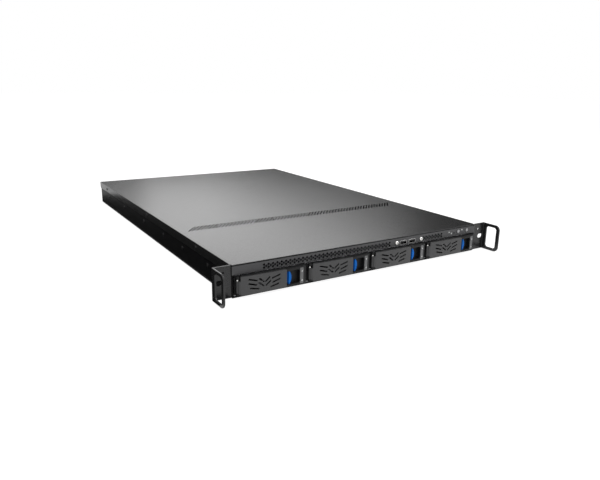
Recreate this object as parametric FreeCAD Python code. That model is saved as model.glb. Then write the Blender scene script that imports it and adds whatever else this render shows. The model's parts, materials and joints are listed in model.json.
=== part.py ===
"""1U rack server with four hot-swap drive trays, in millimetres.

+X is to the right seen from the front, +Y runs towards the rear and +Z is up.
The origin is in the rack's mounting plane (the rear faces of the two ears), midway
between the ears, at the underside of the chassis.
Each function makes one sub-part as a list of solids; main() writes them to parts/.
"""

import FreeCAD, Part
import os
from math import asin, cos, pi, radians, sin

from FreeCAD import Vector

# ---- rack and chassis -------------------------------------------------------
HEIGHT = 43.6             # one rack unit less its gap
DEPTH = 660.0             # control panel face to rear panel face
SHEET = 1.2               # chassis sheet
COVER_SHEET = 1.0
COVER_GAP = 0.2           # cover to chassis, all round
COVER_LIP = 13.0          # height of the cover's side lips
FIT = 0.3                 # gap round a part that is slid or dropped in
TOUCH = 0.1               # gap round a part that is screwed or pressed in

# ---- disk drives and trays --------------------------------------------------
BAY_COUNT = 4
DRIVE_WIDTH = 101.6
DRIVE_LENGTH = 147.0
DRIVE_HEIGHT = 26.1
DRIVE_SETBACK = 3.2       # sled front plate to drive
SLED_SHEET = 1.5          # sled rails and front plate
SLED_FLOOR = 0.9
SLED_RAIL_HEIGHT = 20.0
SLED_TAIL = 2.0           # rails past the drive
SLED_FRONT_TRIM = 1.0     # front plate below the bezel's top
STRAP = 30.0              # width of the floor straps
SLED_SLOT_START = 26.0    # rail's slot from both of its ends
SLED_SLOT_WIDTH = 6.0
LID_STEP = 2.0            # drive's lid above its flange
LID_INSET = 3.0
LID_REAR = 12.0
TRAY_SIDE_GAP = 0.6
DIVIDER = 1.0
BAY_MARGIN = 0.8          # side walls to the outer bays
BAY_HEADROOM = 0.5        # drive to cage deck
DECK = 0.8

# ---- tray front -------------------------------------------------------------
BEZEL_BOTTOM = 3.5
BEZEL_HEIGHT = 24.9
BEZEL_SIDE_GAP = 0.8      # half the gap between neighbouring bezels
BEZEL_REACH = 8.5         # in front of the control panel, at mid width
BEZEL_WALL = 1.7
WINDOW_RISE = 3.4         # bezel's edges to the air window
WINDOW_INSET = 2.0
BEZEL_LAP = 2.0           # bezel back behind the control panel's face
BOW_RADIUS = 487.0        # main curve of the tray front
END_RADIUS = 8.0          # rounded ends of the tray front
LEVER_SHEET = 2.4         # at its rounded end
LEVER_THICKNESS = 3.6     # at mid width, where its back is flat
LEVER_GAP = 0.4
LEVER_TRIM = 0.2          # lever below and above the bezel's edges
LEVER_SPAN = 71.5         # left end of the bezel to the lever's free end
PIN_RADIUS = 1.25
PIN_PLAY = 0.05
KNUCKLE_RADIUS = 2.1
BARREL_SIDES = 8
HINGE_TURN = 39.0         # degrees round the left end's curve
KNUCKLE_LOW = 2.7         # height of the lower knuckle
KNUCKLE_HIGH = 3.4        # height of the upper knuckle
PIN_SHOWS = 2.6           # pin seen between the lever and the upper knuckle
VENT_STEM = 38.9          # left end of the bezel to the vents' stem
VENT_WIDTH = 2.1
# each pair of vents: distance from the stem and height above the foot, at the near and the far end
VENTS = ((1.2, 14.2, 7.2, 19.2), (1.8, 8.9, 8.3, 14.0), (10.6, 17.0, 22.0, 20.0),
         (11.6, 11.3, 22.0, 14.4), (8.6, 5.7, 20.0, 8.2))

# ---- latch, finger recess and light strip -----------------------------------
RECESS_SPAN = 91.5        # left end of the bezel to the recess's right side
RECESS_TUCK = 6.0         # recess behind the lever's free end
RECESS_HEIGHT = 18.5
RECESS_DEPTH = 7.5
RECESS_CORNER = 1.8
LATCH_SHOWS = 7.6         # latch beyond the lever, at mid height
LATCH_BULGE = 3.0         # of its rounded edge
LATCH_STEP = 2.9          # low part beside the lever
LATCH_TRAVEL = 2.5
LATCH_HEIGHT = 17.6
LATCH_SINK = 0.2          # latch behind the bow's surface, at its free edge
STRIP_WIDTH = 5.0
STRIP_EDGE = 0.7          # bezel left between the recess and the strip
STRIP_SHEET = 1.5
STRIP_PROUD = 0.3         # in front of the bezel, at its left side
STRIP_HEIGHT = 21.6
LAMP_SIZE = 2.6
LAMP_PROUD = 0.7
LAMP_DEPTH = 2.0
LAMP_SPACING = 11.4

# ---- control panel ----------------------------------------------------------
PANEL_PROUD = 1.7         # in front of the ears
PANEL_GAP = 1.0           # below the cover
PANEL_FLANGE = 14.0
PANEL_FOOT = 5.0
PANEL_LINE = 5.3          # perforation's middle above the panel's foot
HOLE_SIDES = 4
HOLE_PITCH = 6.5
HOLE_ACROSS = 2.9
ROW_PITCH = 2.03
WIDE_VENT_LEFT = -171.0
WIDE_VENT_HOLES = 33
NARROW_VENT_LEFT = 102.5
NARROW_VENT_HOLES = 7
PANEL_SCREW_X = (50.3, 98.4)
PANEL_SCREW_ACROSS = 6.0
USB_X = (63.2, 80.8)
USB_WIDTH = 13.2
USB_HEIGHT = 5.8
USB_LENGTH = 14.0
USB_SHELL = 0.4
USB_TONGUE = 1.9
POWER_X = 178.0
RESET_X = 197.0
BUTTON_SIDES = 12
BUTTON_RADIUS = 2.6
BUTTON_PROUD = 0.9
BUTTON_TRAVEL = 1.0
BUTTON_RIM = 0.6
BUTTON_FLANGE = 1.0
SWITCH_DEPTH = 7.0
LAMP_BLOCK = 2.0
FRONT_BOARD_DEPTH = 26.0
LIGHT_X = (158.0, 163.4, 186.5)
LIGHT_RISE = (0.5, -1.9, 1.3)
LIGHT_SIZE = 2.2
PINHOLE_X = 169.2
PINHOLE_ACROSS = 2.4
CONTROL_RISE = 1.7        # buttons above the panel's perforation line

# ---- rack ears --------------------------------------------------------------
EAR_SHEET = 2.5
EAR_WIDTH = 25.1          # brings the two ears to 482.6 over all, the 19 inch rack's width
SLOT_INSET = 8.75         # ear edge to the middle of its slot; 465.1 between the two slots
EAR_TRIM = 0.2            # ears below the full height, top and bottom
EAR_GAP = 0.2             # ear to the control panel's end
EAR_FLANGE = 38.0
EAR_FLANGE_LOW = 3.0
EAR_FLANGE_HEIGHT = 26.0
HANDLE_REACH = 34.2       # in front of the mounting plane
HANDLE_BAND = 4.5
HANDLE_FRONT_BAND = 6.0
HANDLE_ROOT = 8.7
HANDLE_CORNER = 8.0
WINDOW_CORNER = 2.6       # flat across each corner of the handle's window
SLOT_LENGTH = 10.5
SLOT_WIDTH = 7.0
EAR_HOLE_RADIUS = 1.8
EAR_HOLE_INSET = 13.8     # ear edge to hole
EAR_HOLE_RISE = 12.2      # hole above the slot

# ---- side screws ------------------------------------------------------------
SCREW_ACROSS = 5.5
SCREW_HEAD = 0.9
EAR_SCREW_Y = (12.0, 29.0)
RAIL_SCREW_Y = (72.0, 165.0, 250.0, 352.0, 476.0)
RAIL_SCREW_INSET = 67.8   # rear panel to the last rail screw

# ---- cover vents and screws -------------------------------------------------
COVER_VENT_Y = 170.0
COVER_VENT_SPAN = 25.0
COVER_VENT_SLANT = 25.0   # sideways from a slot's front end to its rear end
COVER_VENT_MARGIN = 13.0  # to the cover's sides
COVER_VENT_PITCH = 6.0
COVER_VENT_WIDTH = 3.0
COVER_SCREW_Y = (110.0, 330.0)
COVER_SCREW_INSET = 55.8  # rear panel to the last cover screw

# ---- backplane and fans -----------------------------------------------------
BOARD = 1.6               # thickness of every circuit board
BACKPLANE_GAP = 8.0       # sled to backplane
PLUG_WIDTH = 43.0
PLUG_HEIGHT = 6.0
PLUG_LEFT = -42.0         # from the drive's middle
PLUG_TONGUE = 1.2
PLUG_REACH = 3.0          # tongue into the drive
NOTCH_DEPTH = 4.0
AIR_HOLE = (4.0, 44.0)    # from the bay's middle, on both sides
AIR_HOLE_RISE = 12.0
AIR_HOLE_TRIM = 3.0
FAN_COUNT = 4
FAN_WALL_Y = 212.0
FAN_CLEAR = 0.6           # fan to pan and to cover
FAN_DEPTH = 28.0
FAN_SPREAD = 104.0
FAN_WALL_MARGIN = 8.0
FAN_FOOT = 9.0
FAN_SEAT = 2.0            # wall behind each fan's edge
FAN_DUCT_WALL = 1.2
DUCT_SIDES = 12
BLADE_GAP = 0.8
BLADES = 5
BLADE_THICKNESS = 1.0
BLADE_ANGLE = 38.0
BLADE_REACH = 0.8         # of the rotor's depth
BLADE_ROOT = 2.0          # sunk in the hub
HUB_ACROSS = 20.0
MOTOR_SIDES = 8
MOTOR_DEPTH = 5.0
STRUTS = 3
STRUT = 2.0

# ---- mainboard --------------------------------------------------------------
STANDOFF = 6.5
STANDOFF_ACROSS = 6.0
STANDOFF_INSET = 10.0
BOARD_WIDTH = 305.0
BOARD_DEPTH = 244.0
BOARD_SIDE_GAP = 4.0
BOARD_REAR_GAP = 2.0
SOCKET_SIZE = 60.0
SOCKET_HEIGHT = 5.0
SINK_GAP = 21.8           # heat sink to the memory sockets
SOCKET_BACK = 90.0        # from its front edge
SINK_SIZE = 90.0
SINK_BASE = 4.0
SINK_HEADROOM = 3.0
FIN = 1.0
FIN_COUNT = 11
DIMM_COUNT = 4
DIMM_LENGTH = 133.4
DIMM_THICKNESS = 3.2
DIMM_PITCH = 10.0
DIMM_HEADROOM = 1.4
DIMM_SOCKET = 5.0
DIMM_SINK = 1.0           # slot's floor above the board
DIMM_END = 4.0            # socket past the module
DIMM_INSET = 70.0         # right edge of the board to the group's middle
DIMM_BACK = 12.0
CARD_SLOT = (8.0, 90.0, 11.0)
CARD_SLOT_BACK = 40.0
CARD_SLOT_RIGHT = 20.0    # from the slot cover's left edge
CHIP = (36.0, 36.0, 9.0)
CHIP_PLACE = (30.0, 30.0) # from the board's front left corner

# ---- rear panel -------------------------------------------------------------
SHIELD_WIDTH = 158.8
SHIELD_SHEET = 0.8
SHIELD_LAP = 2.0          # shield behind the panel's edge
SHIELD_LEFT = 44.0
SLOT_COVER_WIDTH = 120.0
SLOT_COVER_HEIGHT = 18.0
SLOT_COVER_LEFT = -88.0
SLOT_TAB = 11.0
SLOT_TAB_RISE = 1.5
PORT_DEPTH = 16.0
PORT_WALL = 1.2
PORT_BACK = 3.0
PORT_INSET = 8.0          # shield's left end to the first port
# distance from the first port, width and height of each rear port
PORTS = ((0.0, 13.6, 15.0), (20.0, 31.0, 12.5), (58.0, 31.0, 12.5), (95.0, 16.0, 13.5),
         (116.0, 16.0, 13.5))
REAR_VENT_WIDTH = 6.0
REAR_VENT_PITCH = 12.0

# ---- power supply -----------------------------------------------------------
PSU_WIDTH = 81.5
PSU_DEPTH = 220.0
PSU_CLEAR = 0.7
PSU_SIDE_GAP = 1.0
PSU_WALL = 1.2
PSU_FAN_RADIUS = 18.0
PSU_FAN_X = 19.0          # right of the supply's middle
PSU_FAN_DEPTH = 24.0
INLET_X = -22.0
INLET_WIDTH = 27.5
INLET_HEIGHT = 20.0
INLET_DEPTH = 19.0
INLET_WALL = 1.8
INLET_BACK = 2.0
INLET_BEVEL = 4.0
POLE = (2.0, 4.0)         # width and height of each pole
POLE_SETBACK = 5.6
POLE_PITCH = 7.0
EARTH_RISE = 2.0          # middle pole above the inlet's middle, outer ones below
GUARD_SLOTS = 5
GUARD_PITCH = 6.0
GUARD_SLOT = 3.4
GUARD_MARGIN = 1.0
INTAKES = 6
INTAKE_PITCH = 12.0
INTAKE_WIDTH = 7.0
INTAKE_HEIGHT = 28.0
INTAKE_DEPTH = 6.0

# ---- worked out from the above ---------------------------------------------
FRONT = -(EAR_SHEET + PANEL_PROUD)
REAR = FRONT + DEPTH
SLED_WIDTH = DRIVE_WIDTH + 2 * (SLED_SHEET + TOUCH)
BAY_PITCH = SLED_WIDTH + 2 * TRAY_SIDE_GAP + DIVIDER
SIDE_IN = BAY_COUNT * BAY_PITCH / 2 + BAY_MARGIN
SIDE_OUT = SIDE_IN + SHEET
COVER_UNDER = HEIGHT - COVER_SHEET
WALL_TOP = COVER_UNDER - COVER_GAP

SLED_Z = SHEET + FIT
DRIVE_Z = SLED_Z + SLED_FLOOR
DECK_Z = DRIVE_Z + DRIVE_HEIGHT + BAY_HEADROOM
PANEL_Z = DECK_Z + DECK
SLED_Y = FRONT + BEZEL_LAP
DRIVE_Y = SLED_Y + DRIVE_SETBACK
SLED_END = DRIVE_Y + DRIVE_LENGTH + SLED_TAIL
BACKPLANE_Y = SLED_END + BACKPLANE_GAP
CAGE_Y = SLED_Y + 2 * FIT

BEZEL_WIDTH = BAY_PITCH - 2 * BEZEL_SIDE_GAP
BEZEL_LEFT = -BEZEL_WIDTH / 2
BEZEL_TOP = BEZEL_BOTTOM + BEZEL_HEIGHT
BEZEL_MID = BEZEL_BOTTOM + BEZEL_HEIGHT / 2
BOW_Y = FRONT - BEZEL_REACH + BOW_RADIUS
BOW_TURN = asin((BEZEL_WIDTH / 2 - END_RADIUS) / (BOW_RADIUS - END_RADIUS))
END_X = (BOW_RADIUS - END_RADIUS) * sin(BOW_TURN)
END_Y = BOW_Y - (BOW_RADIUS - END_RADIUS) * cos(BOW_TURN)
PIN_X = -END_X - (END_RADIUS - KNUCKLE_RADIUS) * cos(radians(HINGE_TURN))
PIN_Y = END_Y - (END_RADIUS - KNUCKLE_RADIUS) * sin(radians(HINGE_TURN))
LEVER_END = BEZEL_LEFT + LEVER_SPAN
BARREL_BOTTOM = BEZEL_BOTTOM + KNUCKLE_LOW + LEVER_TRIM
BARREL_TOP = BEZEL_TOP - KNUCKLE_HIGH - PIN_SHOWS
LEVER_CLEAR = PIN_X + KNUCKLE_RADIUS + 2 * FIT
LEVER_BACK = FRONT - BEZEL_REACH + LEVER_THICKNESS
FRAME_LEFT = -END_X
FRAME_Y = END_Y - END_RADIUS + LEVER_SHEET + LEVER_GAP
RECESS_LEFT = LEVER_END - RECESS_TUCK
RECESS_RIGHT = BEZEL_LEFT + RECESS_SPAN
RECESS_FLOOR = FRONT - BEZEL_REACH + RECESS_DEPTH
STRIP_LEFT = RECESS_RIGHT + STRIP_EDGE
STRIP_Y = BOW_Y - (BOW_RADIUS ** 2 - STRIP_LEFT ** 2) ** 0.5 - STRIP_PROUD

PANEL_TOP = COVER_UNDER - PANEL_GAP
PANEL_MID = PANEL_Z + PANEL_LINE
CONTROL_Z = PANEL_MID + CONTROL_RISE
USB_Z = PANEL_Z + BOARD + USB_HEIGHT / 2
BUTTON_END = FRONT + SHEET + FIT + BUTTON_FLANGE
FRONT_BOARD_Y = FRONT + PANEL_FOOT + TOUCH
EAR_X = SIDE_OUT + EAR_GAP + EAR_WIDTH
EAR_LOW = EAR_TRIM
EAR_HIGH = HEIGHT - EAR_TRIM
FAN_SIZE = WALL_TOP - SHEET - 2 * FAN_CLEAR
DUCT_RADIUS = FAN_SIZE / 2 - FAN_DUCT_WALL
FAN_Z = SHEET + FAN_CLEAR + FAN_SIZE / 2
FAN_Y = FAN_WALL_Y + SHEET
BOARD_Z = SHEET + STANDOFF
BOARD_TOP = BOARD_Z + BOARD
BOARD_RIGHT = SIDE_IN - BOARD_SIDE_GAP
BOARD_LEFT = BOARD_RIGHT - BOARD_WIDTH
PANEL_IN = REAR - SHEET
BOARD_REAR = PANEL_IN - BOARD_REAR_GAP
BOARD_FRONT = BOARD_REAR - BOARD_DEPTH
DIMM_X = BOARD_RIGHT - DIMM_INSET
SINK_X = DIMM_X - (DIMM_COUNT - 1) / 2 * DIMM_PITCH - DIMM_THICKNESS - SINK_GAP - SINK_SIZE / 2
SINK_Y = BOARD_FRONT + SOCKET_BACK
DIMM_Y = BOARD_FRONT + DIMM_BACK
PSU_LEFT = -SIDE_IN + PSU_SIDE_GAP
PSU_MID = PSU_LEFT + PSU_WIDTH / 2
PSU_TOP = WALL_TOP - PSU_CLEAR
PSU_Z = (SHEET + PSU_TOP) / 2
PSU_FRONT = PANEL_IN - PSU_DEPTH


# ---- shapes -----------------------------------------------------------------
RIGHT, BACK, UP = Vector(1, 0, 0), Vector(0, 1, 0), Vector(0, 0, 1)


def block(x0, x1, y0, y1, z0, z1):
    return Part.makeBox(x1 - x0, y1 - y0, z1 - z0, Vector(x0, y0, z0))


def rod(x, y, z, radius, length, axis=UP):
    return Part.makeCylinder(radius, length, Vector(x, y, z), axis)


def plate(points, thickness):
    """A flat plate: the outline's points, thickened along a vector."""
    outline = Part.makePolygon(points + points[:1])
    return Part.Face(outline).extrude(thickness)


def prism(sides, x, y, z, across, length, axis):
    """A bar with equal sides along an axis of the frame, measured across its flats."""
    radius = across / 2 / cos(pi / sides)
    one = Vector(axis.y, axis.z, axis.x) * radius
    other = Vector(axis.z, axis.x, axis.y) * radius
    turns = [2 * pi * i / sides for i in range(sides)]
    corners = [Vector(x, y, z) + one * cos(t) + other * sin(t) for t in turns]
    return plate(corners, axis * length)


def bevelled(shape, size, axis):
    """Cuts a flat across every edge that runs along the axis."""
    edges = [e for e in shape.Edges if abs(abs(e.tangentAt(e.FirstParameter).dot(axis)) - 1) < 1e-6]
    return shape.makeChamfer(size, edges)


def mirrored(shape):
    """The same piece on the other side of the chassis."""
    return shape.mirror(Vector(0, 0, 0), RIGHT)


def both_sides(shapes):
    return shapes + [mirrored(s) for s in shapes]


# ---- chassis ----------------------------------------------------------------
def rear_openings():
    """Cut-outs of the rear panel: supply, expansion slot, vents and port shield."""
    y0, y1 = PANEL_IN - 1, REAR + 1
    cuts = [block(PSU_LEFT + PSU_WALL, PSU_LEFT + PSU_WIDTH - PSU_WALL, y0, y1,
                  SHEET + PSU_WALL, PSU_TOP - PSU_WALL)]
    slot_z = WALL_TOP - SHIELD_LAP - SLOT_COVER_HEIGHT
    cuts.append(block(SLOT_COVER_LEFT, SLOT_COVER_LEFT + SLOT_COVER_WIDTH, y0, y1,
                      slot_z, slot_z + SLOT_COVER_HEIGHT))
    cuts.append(block(SHIELD_LEFT, SHIELD_LEFT + SHIELD_WIDTH, y0, y1,
                      SHEET + SHIELD_LAP, WALL_TOP - SHIELD_LAP))
    vent_top = slot_z - 2 * SHIELD_LAP
    for i in range(int(SLOT_COVER_WIDTH // REAR_VENT_PITCH)):
        x = SLOT_COVER_LEFT + i * REAR_VENT_PITCH
        cuts.append(block(x, x + REAR_VENT_WIDTH, y0, y1, SHEET + 2 * SHIELD_LAP, vent_top))
    return cuts


def standoff_places():
    xs = [BOARD_LEFT + STANDOFF_INSET, (BOARD_LEFT + BOARD_RIGHT) / 2, BOARD_RIGHT - STANDOFF_INSET]
    ys = [BOARD_FRONT + STANDOFF_INSET, (BOARD_FRONT + BOARD_REAR) / 2, BOARD_REAR - 2 * STANDOFF_INSET]
    return [(x, y) for x in xs for y in ys]


def side_screw_places():
    """Distance back, height and seat of each screw head on the right side."""
    places = [(y, EAR_FLANGE_LOW + EAR_FLANGE_HEIGHT / 2, SIDE_OUT + EAR_SHEET) for y in EAR_SCREW_Y]
    return places + [(y, HEIGHT / 2, SIDE_OUT) for y in (*RAIL_SCREW_Y, REAR - RAIL_SCREW_INSET)]


def chassis_body():
    """Pan, side walls and rear panel, with the mainboard's hexagonal standoffs."""
    pan = block(-SIDE_OUT, SIDE_OUT, FRONT, REAR, 0, SHEET)
    wall = block(SIDE_IN, SIDE_OUT, FRONT + SHEET, REAR, SHEET, WALL_TOP)
    rear = block(-SIDE_IN, SIDE_IN, PANEL_IN, REAR, SHEET, WALL_TOP).cut(rear_openings())
    posts = [prism(6, x, y, SHEET, STANDOFF_ACROSS, STANDOFF, UP) for x, y in standoff_places()]
    return [pan.fuse([wall, mirrored(wall), rear] + posts).removeSplitter()]


def drive_cage():
    """Deck over the drives with a divider between each pair of bays."""
    deck = block(-SIDE_IN, SIDE_IN, CAGE_Y, BACKPLANE_Y, DECK_Z, PANEL_Z)
    xs = [(i - BAY_COUNT / 2) * BAY_PITCH for i in range(1, BAY_COUNT)]
    walls = [block(x - DIVIDER / 2, x + DIVIDER / 2, CAGE_Y, BACKPLANE_Y, SHEET, DECK_Z) for x in xs]
    return [deck.fuse(walls).removeSplitter()]


def vent_rows(left, count):
    """Three staggered rows of holes through the control panel."""
    holes = []
    for row in (-1, 0, 1):
        inner = 1 if row == 0 else 0
        for i in range(count - inner):
            x = left + (i + inner / 2) * HOLE_PITCH
            z = PANEL_MID + row * ROW_PITCH
            holes.append(prism(HOLE_SIDES, x, FRONT - 1, z, HOLE_ACROSS, SHEET + 2, BACK))
    return holes


def control_panel_holes():
    y0, y1 = FRONT - 1, FRONT + SHEET + 1
    holes = vent_rows(WIDE_VENT_LEFT, WIDE_VENT_HOLES) + vent_rows(NARROW_VENT_LEFT, NARROW_VENT_HOLES)
    half = USB_WIDTH / 2 + TOUCH
    rise = USB_HEIGHT / 2 + TOUCH
    for x in USB_X:
        holes.append(block(x - half, x + half, y0, y1, USB_Z - rise, USB_Z + rise))
    for x in (POWER_X, RESET_X):
        holes.append(prism(BUTTON_SIDES, x, y0, CONTROL_Z, 2 * (BUTTON_RADIUS + FIT), y1 - y0, BACK))
    for x, z in light_places():
        half = LIGHT_SIZE / 2 + TOUCH
        holes.append(block(x - half, x + half, y0, y1, z - half, z + half))
    holes.append(prism(6, PINHOLE_X, y0, PANEL_MID, PINHOLE_ACROSS, y1 - y0, BACK))
    return holes


def light_places():
    return [(x, CONTROL_Z + rise) for x, rise in zip(LIGHT_X, LIGHT_RISE)]


def front_panel():
    """Perforated strip above the bays, folded back at its top and foot."""
    face = block(-SIDE_OUT, SIDE_OUT, FRONT, FRONT + SHEET, PANEL_Z, PANEL_TOP)
    wide = SIDE_IN - TOUCH
    top = block(-wide, wide, FRONT, FRONT + PANEL_FLANGE, PANEL_TOP - SHEET, PANEL_TOP)
    foot = block(-wide, wide, FRONT, FRONT + PANEL_FOOT, PANEL_Z, PANEL_Z + SHEET)
    return [face.cut(control_panel_holes()).fuse([top, foot]).removeSplitter()]


def front_panel_screws():
    """Low hexagonal heads on the control panel."""
    return [prism(6, x, FRONT - SCREW_HEAD, PANEL_MID, PANEL_SCREW_ACROSS, SCREW_HEAD, BACK)
            for x in PANEL_SCREW_X]


def usb_sockets():
    """Socket shells open to the front, each with its tongue."""
    sockets = []
    half, rise = USB_WIDTH / 2, USB_HEIGHT / 2
    inner, up = half - USB_SHELL, rise - USB_SHELL
    y0, y1 = FRONT - TOUCH, FRONT + USB_LENGTH
    for x in USB_X:
        shell = block(x - half, x + half, y0, y1, USB_Z - rise, USB_Z + rise)
        hollow = block(x - inner, x + inner, y0 - 1, y1 - USB_SHELL, USB_Z - up, USB_Z + up)
        tongue = block(x - inner + 1, x + inner - 1, y0 + 1, y1, USB_Z, USB_Z + USB_TONGUE)
        sockets.append(shell.cut(hollow).fuse(tongue))
    return sockets


def front_board():
    """Board behind the control panel, with a switch block for each button."""
    top = PANEL_Z + BOARD
    board = block(USB_X[0] - USB_WIDTH, RESET_X + 3 * BUTTON_RADIUS, FRONT_BOARD_Y,
                  FRONT_BOARD_Y + FRONT_BOARD_DEPTH, PANEL_Z, top)
    switch_y = BUTTON_END + BUTTON_TRAVEL + FIT
    blocks = [block(x - BUTTON_RADIUS, x + BUTTON_RADIUS, switch_y, switch_y + SWITCH_DEPTH,
                    top, CONTROL_Z + BUTTON_RADIUS) for x in (POWER_X, RESET_X)]
    for x, z in light_places():
        blocks.append(block(x - LIGHT_SIZE / 2, x + LIGHT_SIZE / 2, FRONT_BOARD_Y,
                            FRONT_BOARD_Y + LAMP_BLOCK, top, z + LIGHT_SIZE / 2))
    return [board.fuse(blocks)]


def indicator_lights():
    """Light pipes from the lamps on the board through the panel."""
    half = LIGHT_SIZE / 2
    return [block(x - half, x + half, FRONT - TOUCH, FRONT_BOARD_Y, z - half, z + half)
            for x, z in light_places()]


def button(x):
    """Twelve-sided push button with a flange that keeps it behind the panel."""
    seat = BUTTON_END - BUTTON_FLANGE
    cap = prism(BUTTON_SIDES, x, FRONT - BUTTON_PROUD, CONTROL_Z, 2 * BUTTON_RADIUS,
                seat - FRONT + BUTTON_PROUD, BACK)
    half = BUTTON_RADIUS + BUTTON_RIM
    flange = block(x - half, x + half, seat, BUTTON_END, CONTROL_Z - half, CONTROL_Z + half)
    return [cap.fuse(flange)]


# ---- rack ears and screws ---------------------------------------------------
def ear_right():
    """Ear folded forward at its outer edge into a loop handle, and back along the side."""
    inner = SIDE_OUT + EAR_GAP
    front = block(inner, EAR_X, -EAR_SHEET, 0, EAR_LOW, EAR_HIGH)
    loop = block(EAR_X - EAR_SHEET, EAR_X, -HANDLE_REACH, 0, EAR_LOW, EAR_HIGH)
    corners = [e for e in loop.Edges if e.BoundBox.YMax < -HANDLE_REACH + 1e-6 and e.BoundBox.ZLength < 1e-6]
    loop = loop.makeFillet(HANDLE_CORNER, corners)
    window = block(EAR_X - EAR_SHEET - 1, EAR_X + 1, -HANDLE_REACH + HANDLE_FRONT_BAND, -HANDLE_ROOT,
                   EAR_LOW + HANDLE_BAND, EAR_HIGH - HANDLE_BAND)
    loop = loop.cut(bevelled(window, WINDOW_CORNER, RIGHT))
    flange = block(SIDE_OUT, SIDE_OUT + EAR_SHEET, -EAR_SHEET, EAR_FLANGE,
                   EAR_FLANGE_LOW, EAR_FLANGE_LOW + EAR_FLANGE_HEIGHT)
    hole = rod(EAR_X - EAR_HOLE_INSET, -EAR_SHEET - 1, HEIGHT / 2 + EAR_HOLE_RISE, EAR_HOLE_RADIUS,
               EAR_SHEET + 2, BACK)
    return [front.fuse([loop, flange]).removeSplitter().cut([rack_slot(), hole])]


def rack_slot():
    """Round-ended slot for the rack's screw."""
    middle, reach = EAR_X - SLOT_INSET, (SLOT_LENGTH - SLOT_WIDTH) / 2
    y, depth = -EAR_SHEET - 1, EAR_SHEET + 2
    slot = block(middle - reach, middle + reach, y, y + depth,
                 HEIGHT / 2 - SLOT_WIDTH / 2, HEIGHT / 2 + SLOT_WIDTH / 2)
    ends = [rod(x, y, HEIGHT / 2, SLOT_WIDTH / 2, depth, BACK) for x in (middle - reach, middle + reach)]
    return slot.fuse(ends).removeSplitter()


def ear_left():
    return [mirrored(ear_right()[0])]


def side_screws():
    """Low hexagonal heads: two on each ear's flange and six for each slide rail."""
    heads = [prism(6, face, y, z, SCREW_ACROSS, SCREW_HEAD, RIGHT) for y, z, face in side_screw_places()]
    return both_sides(heads)


# ---- cover ------------------------------------------------------------------
def cover_slots():
    """One row of slots across the cover, all slanted the same way, behind the drive bays."""
    z, depth = COVER_UNDER - 1, COVER_SHEET + 2
    count = int((2 * (SIDE_OUT - COVER_VENT_MARGIN) - COVER_VENT_SLANT) // COVER_VENT_PITCH)
    left = -(count * COVER_VENT_PITCH + COVER_VENT_SLANT) / 2
    slots = []
    for i in range(count):
        near = Vector(left + i * COVER_VENT_PITCH, COVER_VENT_Y, z)
        far = near + Vector(COVER_VENT_SLANT, COVER_VENT_SPAN, 0)
        wide = Vector(COVER_VENT_WIDTH, 0, 0)
        slots.append(plate([near, near + wide, far + wide, far], UP * depth))
    return slots


def top_cover():
    """Flat cover with side lips outside the chassis walls and a lip over the rear panel."""
    lip_in = SIDE_OUT + COVER_GAP
    lip_out = lip_in + COVER_SHEET
    y0, y1 = 2 * COVER_GAP, REAR + COVER_GAP + COVER_SHEET
    sheet = block(-lip_out, lip_out, y0, y1, COVER_UNDER, HEIGHT)
    nose = block(-SIDE_OUT, SIDE_OUT, FRONT, y0, COVER_UNDER, HEIGHT)
    lip = block(lip_in, lip_out, y0, y1, HEIGHT - COVER_LIP, COVER_UNDER)
    tail = block(-lip_out, lip_out, y1 - COVER_SHEET, y1, WALL_TOP - SHIELD_LAP + FIT, COVER_UNDER)
    return [sheet.cut(cover_slots()).fuse([nose, lip, mirrored(lip), tail]).removeSplitter()]


def cover_screws():
    face = SIDE_OUT + COVER_GAP + COVER_SHEET
    z = HEIGHT - COVER_LIP / 2
    heads = [prism(6, face, y, z, SCREW_ACROSS, SCREW_HEAD, RIGHT)
             for y in (*COVER_SCREW_Y, REAR - COVER_SCREW_INSET)]
    return both_sides(heads)


# ---- tray front -------------------------------------------------------------
def bow(inset, z0, z1):
    """Solid under the tray's bowed front, drawn about the tray's middle and set in evenly."""
    def on_end(turn, side):
        reach = END_RADIUS - inset
        return Vector(side * (END_X + reach * sin(turn)), END_Y - reach * cos(turn), z0)

    half = BEZEL_WIDTH / 2 - inset
    edges = [Part.LineSegment(Vector(half, SLED_Y, z0), Vector(-half, SLED_Y, z0)).toShape()]
    edges.append(Part.LineSegment(Vector(-half, SLED_Y, z0), Vector(-half, END_Y, z0)).toShape())
    halfway = (pi / 2 + BOW_TURN) / 2
    edges.append(Part.Arc(Vector(-half, END_Y, z0), on_end(halfway, -1), on_end(BOW_TURN, -1)).toShape())
    middle = Vector(0, FRONT - BEZEL_REACH + inset, z0)
    edges.append(Part.Arc(on_end(BOW_TURN, -1), middle, on_end(BOW_TURN, 1)).toShape())
    edges.append(Part.Arc(on_end(BOW_TURN, 1), on_end(halfway, 1), Vector(half, END_Y, z0)).toShape())
    edges.append(Part.LineSegment(Vector(half, END_Y, z0), Vector(half, SLED_Y, z0)).toShape())
    return Part.Face(Part.Wire(edges)).extrude(Vector(0, 0, z1 - z0))


def ahead_of(y, x0, x1, z0=0, z1=HEIGHT):
    """Everything in front of a plane between two uprights, for trimming the tray front."""
    return block(x0, x1, FRONT - 2 * BEZEL_REACH, y, z0, z1)


def tray_window(y0, y1):
    """Air opening behind the lever's vents."""
    return block(BEZEL_LEFT + END_RADIUS + WINDOW_INSET, RECESS_LEFT - BEZEL_WALL - WINDOW_INSET, y0, y1,
                 BEZEL_BOTTOM + WINDOW_RISE, BEZEL_TOP - WINDOW_RISE)


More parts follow.
